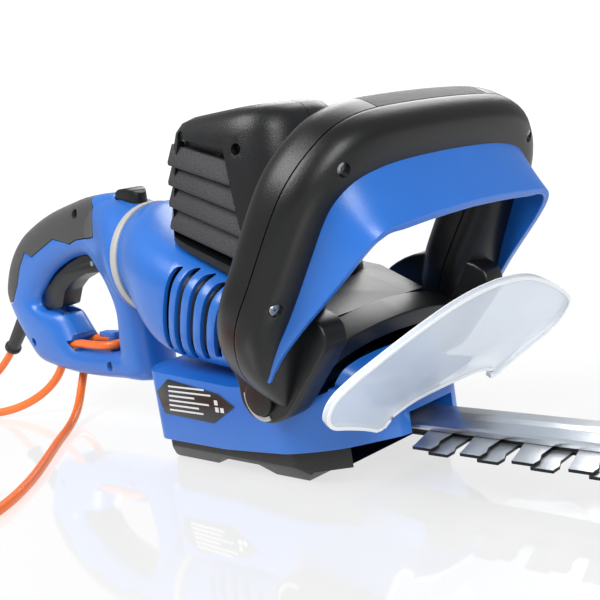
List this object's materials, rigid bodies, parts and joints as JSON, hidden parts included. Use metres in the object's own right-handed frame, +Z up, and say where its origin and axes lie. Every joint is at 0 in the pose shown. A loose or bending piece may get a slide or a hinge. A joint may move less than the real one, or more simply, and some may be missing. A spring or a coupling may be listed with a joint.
{
  "type": "hedge trimmer",
  "caption": "Corded hedge trimmer with opposed toothed blades, hand guard, loop front handle with switch bail and swivelling rear handle.",
  "frame": {"origin": "on the underside of the front foot, on the tool's centre plane", "axes": "+X forward along the blades, +Y to the tool's left, +Z up"},
  "size_m": [1.0752, 0.4124, 0.216],
  "materials": {
    "blue_abs": "satin moulded ABS",
    "black_nylon": "fine-textured glass-filled nylon",
    "cowl_grey": "spark-eroded nylon",
    "soft_grip": "moulded thermoplastic rubber",
    "base_black": "moulded polypropylene",
    "guard_clear": "translucent polycarbonate",
    "ring_silver": "light grey moulded plastic",
    "label_black": "printed film",
    "aluminium": "drawn and brushed",
    "blade_steel": "ground tool steel",
    "steel": "zinc plated",
    "gear_steel": "sintered steel",
    "laminations": "stacked laminations",
    "copper": "enamelled wire",
    "orange_cord": "PVC-sheathed flex",
    "plug_black": "moulded rubber",
    "pin_brass": "turned brass"
  },
  "bodies": {
    "root": {"housing_right": "blue_abs", "housing_left": "blue_abs", "base_plate": "base_black", "rating_label": "label_black", "cowl_right": "cowl_grey", "cowl_left": "cowl_grey", "front_handle_front": "black_nylon", "front_handle_rear": "black_nylon", "front_grip_insert": "soft_grip", "leg_cap_right": "black_nylon", "leg_cap_left": "black_nylon", "hand_guard": "guard_clear", "gear_cover": "cowl_grey", "angle_ring": "ring_silver", "swivel_sleeve": "black_nylon", "blade_bar": "aluminium", "blade_bolts": "steel", "blade_nuts": "steel", "gearbox_plate": "aluminium", "gear_bridge": "aluminium", "motor_stator": "laminations", "field_coils": "copper", "lower_bearing": "steel", "upper_bearing": "steel", "motor_bracket": "black_nylon", "bearing_holder": "black_nylon", "brush_holders": "pin_brass", "mains_cord": "orange_cord", "cord_tail": "orange_cord", "cord_coil": "orange_cord", "cord_tie": "black_nylon", "mains_plug": "plug_black", "plug_pins": "pin_brass", "cowl_screws": "steel", "front_handle_screws": "steel"},
    "rear_handle": {"rear_handle_right": "blue_abs", "rear_handle_left": "blue_abs", "rear_grip": "soft_grip", "rear_handle_screws": "steel", "strain_relief": "plug_black", "trigger_pin": "steel", "switch_block": "black_nylon"},
    "trigger": {"trigger": "black_nylon"},
    "lock_button": {"handle_lock_button": "black_nylon"},
    "bail": {"switch_bail": "blue_abs"},
    "lower_blade": {"lower_blade": "blade_steel"},
    "upper_blade": {"upper_blade": "blade_steel"},
    "drive": {"drive_gear": "gear_steel", "gear_shaft": "steel", "crank_disc": "gear_steel"},
    "rotor": {"motor_shaft": "steel", "pinion": "gear_steel", "cooling_fan": "black_nylon", "armature": "laminations", "commutator": "copper"}
  },
  "joints": [
    {"name": "handle_swivel", "type": "hinge", "parent": "root", "child": "rear_handle", "pos_m": [-0.1704, 0, 0.126], "axis": [1, 0, 0], "range_deg": [-90, 90], "deforming": ["mains_cord"]},
    {"name": "trigger_pull", "type": "hinge", "parent": "rear_handle", "child": "trigger", "pos_m": [-0.24, 0, 0.126], "axis": [0, 1, 0], "range_deg": [0, 5], "stiffness_Nm_per_rad": 0.8, "springref_deg": -6.88},
    {"name": "lock_button_press", "type": "slide", "parent": "rear_handle", "child": "lock_button", "axis": [0, 0, -1], "range_m": [0, 0.0035], "stiffness_N_per_m": 500, "springref_m": -0.004},
    {"name": "bail_squeeze", "type": "hinge", "parent": "root", "child": "bail", "pos_m": [0.0479, 0, 0.0946], "axis": [0, -1, 0], "range_deg": [0, 2.5], "stiffness_Nm_per_rad": 4, "springref_deg": -4.58},
    {"name": "lower_blade_stroke", "type": "slide", "parent": "root", "child": "lower_blade", "axis": [1, 0, 0], "range_m": [-0.0075, 0.0075]},
    {"name": "upper_blade_stroke", "type": "slide", "parent": "root", "child": "upper_blade", "axis": [1, 0, 0], "range_m": [-0.0075, 0.0075]},
    {"name": "motor_spin", "type": "hinge", "parent": "root", "child": "rotor", "pos_m": [-0.0585, 0, 0.1], "axis": [0, 0, 1], "continuous": true},
    {"name": "gear_spin", "type": "hinge", "parent": "root", "child": "drive", "pos_m": [-0.01125, 0, 0.05], "axis": [0, 0, 1], "continuous": true}
  ],
  "couplings": [
    {"joint": "upper_blade_stroke", "follows": "lower_blade_stroke", "ratio": -1},
    {"joint": "gear_spin", "follows": "motor_spin", "ratio": -0.22727}
  ]
}
